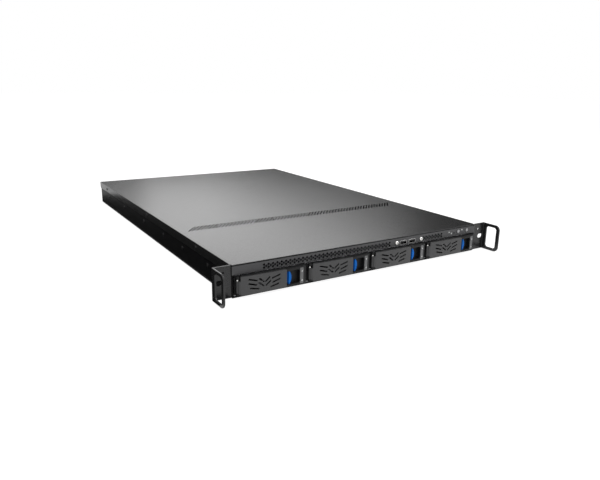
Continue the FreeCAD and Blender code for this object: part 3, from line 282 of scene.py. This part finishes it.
def mesh_from(name, bm):
    mesh = bpy.data.meshes.new(name)
    bm.to_mesh(mesh)
    bm.free()
    return mesh


def placed(name, data):
    """A new object in the scene."""
    obj = bpy.data.objects.new(name, data)
    bpy.context.scene.collection.objects.link(obj)
    return obj


def piece(name, bm, body, slot, *replaced):
    """A new piece in the model's frame that rides on a body."""
    for face in bm.faces:
        face.smooth = True
    for edge in bm.edges:
        if len(edge.link_faces) == 2 and edge.calc_face_angle(math.pi) > CREASE:
            edge.smooth = False
    obj = placed(name, mesh_from(name, bm))
    dress(obj, slot)
    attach(obj, body)
    if replaced:
        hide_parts(*replaced)
    flat = obj.modifiers.new("flat faces stay flat", "WEIGHTED_NORMAL")
    flat.keep_sharp = True
    flat.weight = 100


# ---- nodes with their sharp edges broken ------------------------------------
CORNER = math.radians(25)      # an edge that turns more than this is sharp
FLAT = math.radians(0.4)       # and one that turns less than this is no edge
LATCH_FRONT, LATCH_SIDE = -0.8, 0.25       # Y and X of the normals where its free edge lies
PANEL_BORDER, LEVER_BORDER = 1.2 * MM, 1.5 * MM
LONG_EDGE = 60 * MM            # longer than any edge of a slot
COVER_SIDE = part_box("top_cover")[1][0] - 6 * MM
SLOTS_FRONT, SLOTS_REAR = 165 * MM, 200 * MM
SLOT_CUT = 0.12                # share taken off a slot's length
SLOT_LEAN = 0.284              # move to the left for each step to the rear
ROW_SPREAD = 1.033

# widths in millimetres and numbers of steps of the broken edges
COVER_EDGE, EAR_EDGE = (0.45, 3), (0.6, 3)
PANEL_EDGE, BEZEL_EDGE, LIGHTS_EDGE = (0.3, 2), (0.3, 2), (0.25, 2)
LEVER_EDGE, LEVER_INNER_EDGE = (0.35, 2), (0.1, 1)
LATCH_FREE_EDGE, LATCH_EDGE = (1.3, 4), (0.3, 2)


def everywhere(edge):
    return True


def within(node, margin):
    """Tells whether an edge lies inside a node's outline as seen from the front."""
    low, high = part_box(node)

    def inside(edge):
        middle = (edge.verts[0].co + edge.verts[1].co) / 2
        return all(low[i] + margin < middle[i] < high[i] - margin for i in (0, 2))
    return inside


def outlying(node, margin):
    inside = within(node, margin)
    return lambda edge: not inside(edge)


def free_edge(edge):
    """The latch's bowed edge, where the finger catches it."""
    normals = [face.normal for face in edge.link_faces]
    return (any(normal.y < LATCH_FRONT for normal in normals)
            and any(normal.x > LATCH_SIDE for normal in normals))


def outside_slots(edge):
    """True for the cover's outer edges and folds, false for the rims of its slots."""
    return edge.calc_length() > LONG_EDGE or max(abs(v.co.x) for v in edge.verts) > COVER_SIDE


def trimmed_slots(bm):
    """Shortens the cover's slots about the row's middle, stands them steeper and spreads the row."""
    row = [v for v in bm.verts if abs(v.co.x) < COVER_SIDE and SLOTS_FRONT < v.co.y < SLOTS_REAR]
    middle = sum(v.co.y for v in row) / len(row)
    for v in row:
        from_middle = v.co.y - middle
        v.co.y -= from_middle * SLOT_CUT
        v.co.x = (v.co.x - from_middle * SLOT_LEAN) * ROW_SPREAD


def softened(node, *stages, merged=True, reshape=None):
    """The node with its sharp edges broken; each stage is a width, its steps and a choice of edges."""
    bm = shape_of(node)
    if merged:
        bmesh.ops.dissolve_limit(bm, angle_limit=FLAT, verts=bm.verts, edges=bm.edges)
    if reshape:
        reshape(bm)
    for width, steps, where in stages:
        sharp = [e for e in bm.edges
                 if len(e.link_faces) == 2 and where(e) and e.calc_face_angle(0) > CORNER]
        bmesh.ops.bevel(bm, geom=sharp, offset=width * MM, segments=steps, profile=0.5,
                        affect="EDGES", clamp_overlap=False)
        bm.normal_update()
    piece(node + "_finished", bm, body_of(node), SLOT_OF[node], node)


softened("top_cover", (*COVER_EDGE, outside_slots), merged=False, reshape=trimmed_slots)
for node in ("ear_left", "ear_right"):
    softened(node, (*EAR_EDGE, everywhere))
softened("front_panel", (*PANEL_EDGE, outlying("front_panel", PANEL_BORDER)))
for n in TRAYS:
    softened("tray_%d_bezel" % n, (*BEZEL_EDGE, everywhere))
    lever = "tray_%d_lever" % n
    softened(lever, (*LEVER_EDGE, outlying(lever, LEVER_BORDER)),
             (*LEVER_INNER_EDGE, within(lever, LEVER_BORDER)))
    softened("tray_%d_latch" % n, (*LATCH_FREE_EDGE, free_edge), (*LATCH_EDGE, everywhere))
    softened("tray_%d_lights" % n, (*LIGHTS_EDGE, everywhere))


# ---- closed forms through rings ---------------------------------------------
def facing(centre, right, up):
    """Maps millimetres to the right, up and outwards into the model, from a centre in metres."""
    out = right.cross(up)
    return lambda r, u, o: Vector(centre) + (right * r + up * u + out * o) * MM


def circle(radius, out, count=24, across=0.0, rise=0.0):
    turn = 2 * math.pi / count
    return [(across + radius * math.cos(i * turn), rise + radius * math.sin(i * turn), out)
            for i in range(count)]


def cross(length, width, out):
    """Outline of a cross recess with as many points as a circle."""
    between = (length + width) / 2
    quarter = [(length, 0), (length, width), (between, width),
               (width, width), (width, between), (width, length)]
    return [(x * c - y * s, x * s + y * c, out)
            for c, s in ((1, 0), (0, 1), (-1, 0), (0, -1)) for x, y in quarter]


def rounded(width, height, corner, out, across=0.0, rise=0.0, steps=3):
    """Rectangle with round corners."""
    points = []
    for k, (sx, sy) in enumerate(((1, 1), (-1, 1), (-1, -1), (1, -1))):
        for i in range(steps + 1):
            turn = math.pi / 2 * (k + i / steps)
            points.append((across + sx * (width / 2 - corner) + corner * math.cos(turn),
                           rise + sy * (height / 2 - corner) + corner * math.sin(turn), out))
    return points


def circles(levels, count=24, across=0.0, rise=0.0):
    """Rings of a turned form; each level is a radius and a way out."""
    return [circle(radius, out, count, across, rise) for radius, out in levels]


def rectangles(levels, across=0.0, rise=0.0):
    """Rings of a drawn form; each level is a width, a height, a corner's radius and a way out."""
    return [rounded(*level, across, rise) for level in levels]


def built(name, body, slot, forms, *replaced):
    """A piece of closed forms; each form is a place and the rings that its surface passes through."""
    bm = bmesh.new()
    for place, rings in forms:
        loops = [[bm.verts.new(place(*point)) for point in ring] for ring in rings]
        for near, far in zip(loops, loops[1:]):
            for i in range(len(near)):
                j = (i + 1) % len(near)
                bm.faces.new((near[i], near[j], far[j], far[i]))
        bm.faces.new(loops[0][::-1])
        bm.faces.new(loops[-1])
    bmesh.ops.recalc_face_normals(bm, faces=bm.faces)
    piece(name, bm, body, slot, *replaced)


def islands(node):
    """Boxes in metres of a node's separate solids, in the order of their lowest corners."""
    bm = shape_of(node)
    left, boxes = set(bm.verts), []
    while left:
        stack, found = [left.pop()], []
        while stack:
            v = stack.pop()
            found.append(v.co.copy())
            for e in v.link_edges:
                other = e.other_vert(v)
                if other in left:
                    left.remove(other)
                    stack.append(other)
        boxes.append([[pick(c[i] for c in found) for i in range(3)] for pick in (min, max)])
    bm.free()
    return sorted(boxes)


def centre_of(box):
    return [(a + b) / 2 for a, b in zip(*box)]


# ---- screws, hinge pins and lights, in millimetres --------------------------
HEAD_SEAT = -0.2
HEAD_DOME = ((1.0, 0.4), (0.94, 0.72), (0.8, 0.92), (0.62, 1.0))    # shares of radius and height
HEAD_RECESS = ((0.5, 0.13, 1.0), (0.4, 0.09, 0.3))    # arms' length and width, and height, likewise
SIDE_HEAD_RADIUS = 2.75
PANEL_HEAD_RADIUS, PANEL_HEAD_HEIGHT = 3.1, 1.7
SLEEVE = ((1.0, 0.0), (1.5, 0.2), (1.5, 1.9), (1.2, 2.2), (0.6, 2.3))
SLEEVE_FOOT = 22.5             # above the underside, as are the dots
DOT = ((1.2, -1.0), (1.2, 0.0), (0.95, 0.25), (0.45, 0.38))
DOT_HEIGHTS = (9.4, 22.2)


def pan_head(place, radius, height):
    """Screw head with a domed rim and a cross recess."""
    dome = [circle(wide * radius, high * height) for wide, high in HEAD_DOME]
    recess = [cross(long * radius, wide * radius, high * height) for long, wide, high in HEAD_RECESS]
    return place, [circle(radius, HEAD_SEAT), *dome, *recess]


def side_heads(node):
    """Low heads on both sides of the case, where the node's own are."""
    forms = []
    for low, high in islands(node):
        x, y, z = centre_of((low, high))
        place = facing((low[0], y, z), Y, Z) if x > 0 else facing((high[0], y, z), -Y, Z)
        forms.append(pan_head(place, SIDE_HEAD_RADIUS, (high[0] - low[0]) / MM))
    return forms


def panel_heads(node):
    """Heads on the front panel, where the node's own are."""
    forms = []
    for low, high in islands(node):
        x, y, z = centre_of((low, high))
        forms.append(pan_head(facing((x, high[1], z), X, Z), PANEL_HEAD_RADIUS, PANEL_HEAD_HEIGHT))
    return forms


for node, heads in (("side_screws", side_heads), ("cover_screws", side_heads),
                    ("front_panel_screws", panel_heads)):
    built(node + "_finished", body_of(node), SLOT_OF[node], heads(node), node)

for n in TRAYS:
    x, y, z = SWING["lever_%d_swing" % n]
    sleeve = (facing((x, y, SLEEVE_FOOT * MM), X, Y), circles(SLEEVE))
    built("tray_%d_pin_sleeve" % n, "tray_%d" % n, "bright_screw", [sleeve])
    low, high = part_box("tray_%d_lights" % n)
    middle, face = (low[0] + high[0]) / 2, low[1]
    dots = [(facing((middle, face, z * MM), X, Z), circles(DOT)) for z in DOT_HEIGHTS]
    built("tray_%d_light_dots" % n, "tray_%d" % n, "light_lens", dots)


# ---- USB sockets at the front, in millimetres -------------------------------
SOCKET_LINER = -11.6           # rear of what lies inside a socket
TONGUE_RISE = 0.9

shells, tongues = [], []
for low, high in islands("usb_sockets"):
    width, height, length = ((high[i] - low[i]) / MM for i in (0, 2, 1))
    place = facing(((low[0] + high[0]) / 2, low[1], (low[2] + high[2]) / 2), X, Z)
    shell = ((width, height, 0.9, -length), (width, height, 0.9, -0.2),
             (width - 0.3, height - 0.3, 0.8, 0.0), (width - 1.0, height - 1.0, 0.5, 0.0),
             (width - 0.8, height - 0.8, 0.5, -0.4), (width - 0.8, height - 0.8, 0.5, -11.5))
    tongue = ((width - 2.4, 1.9, 0.3, SOCKET_LINER), (width - 2.4, 1.9, 0.3, -1.2),
              (width - 3.0, 1.4, 0.2, -0.8))
    floor_of_socket = ((width - 1.0, height - 1.0, 0.4, SOCKET_LINER),
                       (width - 1.0, height - 1.0, 0.4, -9.0))
    shells.append((place, rectangles(shell)))
    tongues.append((place, rectangles(tongue, rise=TONGUE_RISE)))
    tongues.append((place, rectangles(floor_of_socket)))
built("usb_shells", "root", "port_shell", shells, "usb_sockets")
built("usb_tongues", "root", "black_plastic", tongues, "usb_sockets")


# ---- ports at the rear, in millimetres --------------------------------------
PORT_WALL = 1.2
SERIAL_FROM_WIDTH, DOUBLE_USB_FROM_HEIGHT = 25, 14
PORT_LINER = -12.9             # inner end of what lies inside a port
CONTACT_END = -10.0            # and of its contacts

SERIAL_SHELL = ((17.0, 8.4, 2.6, -1.0), (17.0, 8.4, 2.6, 4.4), (16.6, 8.0, 2.4, 4.8),
                (16.0, 7.4, 2.2, 4.8), (16.0, 7.4, 2.2, 0.5))
SERIAL_INSERT = ((15.9, 7.3, 2.1, 0.0), (15.9, 7.3, 2.1, 3.6), (15.3, 6.8, 1.9, 3.8))
SERIAL_ROWS = ((1.4, 5), (-1.4, 4))        # rise and number of contacts
SERIAL_PITCH = 2.75
SERIAL_CONTACT = ((0.5, 3.0), (0.5, 3.9), (0.25, 4.1))
JACK_SCREW = ((2.5, -1.2), (2.5, 3.6), (2.2, 4.0), (1.4, 4.0), (1.4, 1.0))
JACK_SCREW_ASIDE = 12.5

USB_TONGUE_DROP = 0.4          # below the middle of each half of the port
USB_CONTACT = ((1.0, 0.4, 0.1, CONTACT_END), (1.0, 0.4, 0.1, -1.9))
USB_CONTACT_DROP, USB_CONTACTS, USB_PITCH = 0.9, 4, 2.1        # the drop is below its tongue

NETWORK_MOUTH_RISE = -0.8
NETWORK_CONTACT = ((0.5, 0.5, 0.1, CONTACT_END), (0.5, 0.5, 0.1, -2.0))
NETWORK_CONTACT_DROP, NETWORK_CONTACTS, NETWORK_PITCH = 2.9, 8, 1.15


def spaced(count, pitch):
    """Places along a row, from its middle."""
    return [(i - (count - 1) / 2) * pitch for i in range(count)]


def serial_port(inner, tall):
    """A D-shaped shell on its plate with nine contacts, between two hexagonal jack screws."""
    plate = rectangles(((inner, tall, 0.4, -3.0), (inner, tall, 0.4, -1.0), *SERIAL_SHELL))
    screws = [circles(JACK_SCREW, 6, across) for across in (-JACK_SCREW_ASIDE, JACK_SCREW_ASIDE)]
    contacts = [circles(SERIAL_CONTACT, 12, across, rise)
                for rise, count in SERIAL_ROWS for across in spaced(count, SERIAL_PITCH)]
    return [plate, *screws], [rectangles(SERIAL_INSERT)], contacts


def double_usb_port(inner, tall):
    """Two sockets one above the other, with a bar between them."""
    bar = rectangles(((inner + 0.4, 0.8, 0.2, -12.5), (inner + 0.4, 0.8, 0.2, -0.4)))
    tongue = ((inner - 2.0, 1.8, 0.3, PORT_LINER), (inner - 2.0, 1.8, 0.3, -1.6),
              (inner - 2.6, 1.3, 0.2, -1.2))
    rises = (-tall / 4 - USB_TONGUE_DROP, tall / 4 - USB_TONGUE_DROP)
    contacts = [rectangles(USB_CONTACT, across, rise - USB_CONTACT_DROP)
                for rise in rises for across in spaced(USB_CONTACTS, USB_PITCH)]
    return [bar], [rectangles(tongue, rise=rise) for rise in rises], contacts


def network_port(inner, tall):
    """A liner with its mouth below the middle and a row of contacts under its top."""
    rim = rectangles(((inner, tall, 0.4, PORT_LINER), (inner, tall, 0.4, -0.5),
                      (inner - 1.6, tall - 1.6, 0.3, -0.3)))
    mouth = rectangles(((inner - 1.9, tall - 3.4, 0.3, -0.9), (inner - 1.9, tall - 3.4, 0.3, -12.0)),
                       rise=NETWORK_MOUTH_RISE)
    contacts = [rectangles(NETWORK_CONTACT, across, tall / 2 - NETWORK_CONTACT_DROP)
                for across in spaced(NETWORK_CONTACTS, NETWORK_PITCH)]
    return [], [rim + mouth], contacts


fronts, liners, contacts = [], [], []
for low, high in islands("io_ports"):
    width, height = ((high[i] - low[i]) / MM for i in (0, 2))
    place = facing(((low[0] + high[0]) / 2, high[1], (low[2] + high[2]) / 2), -X, Z)
    if width > SERIAL_FROM_WIDTH:
        port = serial_port
    elif height > DOUBLE_USB_FROM_HEIGHT:
        port = double_usb_port
    else:
        port = network_port
    added = port(width - 2 * PORT_WALL, height - 2 * PORT_WALL)
    for forms, more in zip((fronts, liners, contacts), added):
        forms.extend((place, rings) for rings in more)
built("port_fronts", "root", "port_shell", fronts)
built("port_liners", "root", "black_plastic", liners)
built("port_contacts", "root", "bright_screw", contacts)


# ---- floor and background ---------------------------------------------------
WHITE = (1, 1, 1, 1)
AMBIENT = 0.35
FLOOR_PLAIN, FLOOR_SHADED = 0.9, 0.3       # the floor's own light, and its share of the lamps'
FLOOR_HALF, FLOOR_MIDDLE_Y = 9.0, 0.3
FLOOR_DROP = 0.6 * MM          # keeps the floor clear of the object's underside


def seen_directly(tree):
    """1 for camera, mirror and glass rays and 0 for the light's other paths."""
    path = tree.nodes.new("ShaderNodeLightPath")
    result = path.outputs["Is Camera Ray"]
    for kind in ("Is Glossy Ray", "Is Transmission Ray"):
        largest = tree.nodes.new("ShaderNodeMath")
        largest.operation = "MAXIMUM"
        tree.links.new(result, largest.inputs[0])
        tree.links.new(path.outputs[kind], largest.inputs[1])
        result = largest.outputs[0]
    return result


def by_ray(tree, direct, other, target):
    """Shows one shader to camera, mirror and glass rays, and the other to all the rest."""
    mix = tree.nodes.new("ShaderNodeMixShader")
    tree.links.new(seen_directly(tree), mix.inputs[0])
    tree.links.new(other, mix.inputs[1])
    tree.links.new(direct, mix.inputs[2])
    tree.links.new(mix.outputs[0], target)


def make_world():
    """Plain white to look at, and a dimmer even light on the object."""
    world = bpy.data.worlds.new("studio")
    bpy.context.scene.world = world
    world.use_nodes = True
    nodes = world.node_tree.nodes
    ambient, plain = nodes["Background"], nodes.new("ShaderNodeBackground")
    for shader, strength in ((ambient, AMBIENT), (plain, 1.0)):
        shader.inputs["Color"].default_value = WHITE
        shader.inputs["Strength"].default_value = strength
    by_ray(world.node_tree, plain.outputs[0], ambient.outputs[0],
           nodes["World Output"].inputs["Surface"])


def make_floor():
    """White paper that still takes the object's soft shadow."""
    bm = bmesh.new()
    bmesh.ops.create_grid(bm, x_segments=2, y_segments=2, size=FLOOR_HALF)
    floor = placed("floor", mesh_from("floor", bm))
    floor.location = (0, FLOOR_MIDDLE_Y, CAD_BOX[0][2] - FLOOR_DROP)
    net = Net("floor_paper")
    broad = net.noise(3, detail=2)
    net.colour(net.ramp(broad, (0.3, (0.84, 0.84, 0.84)), (0.7, (0.88, 0.88, 0.88))))
    net.rough(net.spread(net.noise(200, detail=2), low=0.75, high=0.85))
    net.bump(net.noise(800, detail=2), depth=0.03, strength=0.2)
    shaded = net.add("ShaderNodeBsdfDiffuse")
    shaded.inputs["Color"].default_value = (FLOOR_SHADED, FLOOR_SHADED, FLOOR_SHADED, 1)
    plain = net.add("ShaderNodeEmission")
    plain.inputs["Strength"].default_value = FLOOR_PLAIN
    both = net.add("ShaderNodeAddShader")
    net.join(shaded.outputs[0], both.inputs[0])
    net.join(plain.outputs[0], both.inputs[1])
    by_ray(net.tree, both.outputs[0], net.shader.outputs[0],
           net.tree.nodes["Material Output"].inputs["Surface"])
    floor.data.materials.append(net.material)


make_world()
make_floor()


# ---- lamps and dark cards ---------------------------------------------------
MIDDLE = (0.0, 0.32, 0.02)
GROUND = 1 * MM                # just above the underside, clear of the floor
CASE_SIDE, LEFT_END, CARD_FRONT = -0.2165, -0.8, -0.02
LEFT_CARD_REAR, SIDE_CARD_REAR, SIDE_CARD_TOP = 0.72, 1.0, 0.6
REAR_LEFT, REAR_RIGHT = -0.15, 3.5
GROUND_CARD_FRONT, GROUND_CARD_REAR, REAR_CARD_Y = 0.7, 1.34, 1.35
REAR_CARD = ((REAR_LEFT, 0), (REAR_RIGHT, 0), (REAR_RIGHT, 1.6), (1.8, 1.6), (1.25, 0.64),
             (0.98, 0.47), (0.8, 0.4), (0.58, 0.32), (0.3, 0.24), (REAR_LEFT, 0.2))


def lamp(name, place, target, size, watts, roll=0.0):
    data = bpy.data.lights.new(name, "AREA")
    data.shape = "RECTANGLE"
    data.size, data.size_y = size
    data.energy = watts
    obj = placed(name, data)
    obj.location = place
    aim = (Vector(target) - Vector(place)).to_track_quat("-Z", "Y")
    obj.rotation_euler = (aim.to_matrix() @ Matrix.Rotation(math.radians(roll), 3, "Z")).to_euler()
    obj.visible_camera = False


def dark_card(name, corners):
    """Black card that only glossy rays see, as a studio uses to shape reflections."""
    mesh = bpy.data.meshes.new(name)
    mesh.from_pydata([Vector(c) for c in corners], [], [tuple(range(len(corners)))])
    card = placed(name, mesh)
    net = Net(name)
    felt = net.noise(300, detail=3)
    net.colour(net.ramp(felt, (0.3, (0.004, 0.004, 0.004)), (0.7, (0.008, 0.008, 0.008))))
    net.rough(net.spread(felt, low=0.8, high=0.95))
    net.fixed(Specular_IOR_Level=0.1)
    mesh.materials.append(net.material)
    card.visible_camera = card.visible_diffuse = card.visible_shadow = False
    card.visible_transmission = card.visible_volume_scatter = False


lamp("front_softbox", (-0.9, -1.7, 1.5), MIDDLE, size=(1.2, 1.2), watts=9)
lamp("rear_softbox", (0.55, 1.27, 0.55), (0.05, 0.25, 0.04), size=(1.1, 0.38), watts=2.25, roll=-22)
lamp("top_softbox", (-0.3, 0.5, 2.4), MIDDLE, size=(1.6, 1.6), watts=12)
lamp("right_fill", (0.8, -0.9, 0.6), (0.1, 0.0, 0.02), size=(0.5, 0.5), watts=4.5)
lamp("edge_softbox", (1.0, -0.55, 1.65), MIDDLE, size=(0.5, 0.5), watts=12)
dark_card("card_left", [(CASE_SIDE, CARD_FRONT, GROUND), (CASE_SIDE, LEFT_CARD_REAR, GROUND),
                        (LEFT_END, LEFT_CARD_REAR, GROUND), (LEFT_END, CARD_FRONT, GROUND)])
dark_card("card_side", [(LEFT_END, CARD_FRONT, GROUND), (LEFT_END, SIDE_CARD_REAR, GROUND),
                        (LEFT_END, SIDE_CARD_REAR, SIDE_CARD_TOP),
                        (LEFT_END, CARD_FRONT, SIDE_CARD_TOP)])
dark_card("card_rear", [(x, REAR_CARD_Y, GROUND + z) for x, z in REAR_CARD])
dark_card("card_ground", [(REAR_LEFT, GROUND_CARD_FRONT, GROUND), (REAR_RIGHT, GROUND_CARD_FRONT, GROUND),
                          (REAR_RIGHT, GROUND_CARD_REAR, GROUND), (REAR_LEFT, GROUND_CARD_REAR, GROUND)])


# ---- camera -----------------------------------------------------------------
CAMERA_PLACE = Vector((-496.62, -605.57, 263.12)) * MM
CAMERA_YAW, CAMERA_PITCH, CAMERA_ROLL = (math.radians(a) for a in (32.21, 15.77, 0.95))
CAMERA_LENS, CAMERA_SENSOR, CAMERA_NEAR = 33.96, 36.0, 0.01
forward = Vector((math.sin(CAMERA_YAW) * math.cos(CAMERA_PITCH),
                  math.cos(CAMERA_YAW) * math.cos(CAMERA_PITCH), -math.sin(CAMERA_PITCH)))
level = forward.cross(Z).normalized()
upright = level.cross(forward)
across = level * math.cos(CAMERA_ROLL) + upright * math.sin(CAMERA_ROLL)
upward = upright * math.cos(CAMERA_ROLL) - level * math.sin(CAMERA_ROLL)
view = bpy.data.cameras.new("camera")
view.lens = CAMERA_LENS
view.sensor_width = CAMERA_SENSOR
view.sensor_fit = "HORIZONTAL"
view.clip_start = CAMERA_NEAR
camera = placed("camera", view)
axes = Matrix((across, upward, -forward)).transposed().to_4x4()
camera.matrix_world = Matrix.Translation(CAMERA_PLACE) @ axes
bpy.context.scene.camera = camera
bpy.context.scene.view_settings.view_transform = "Standard"
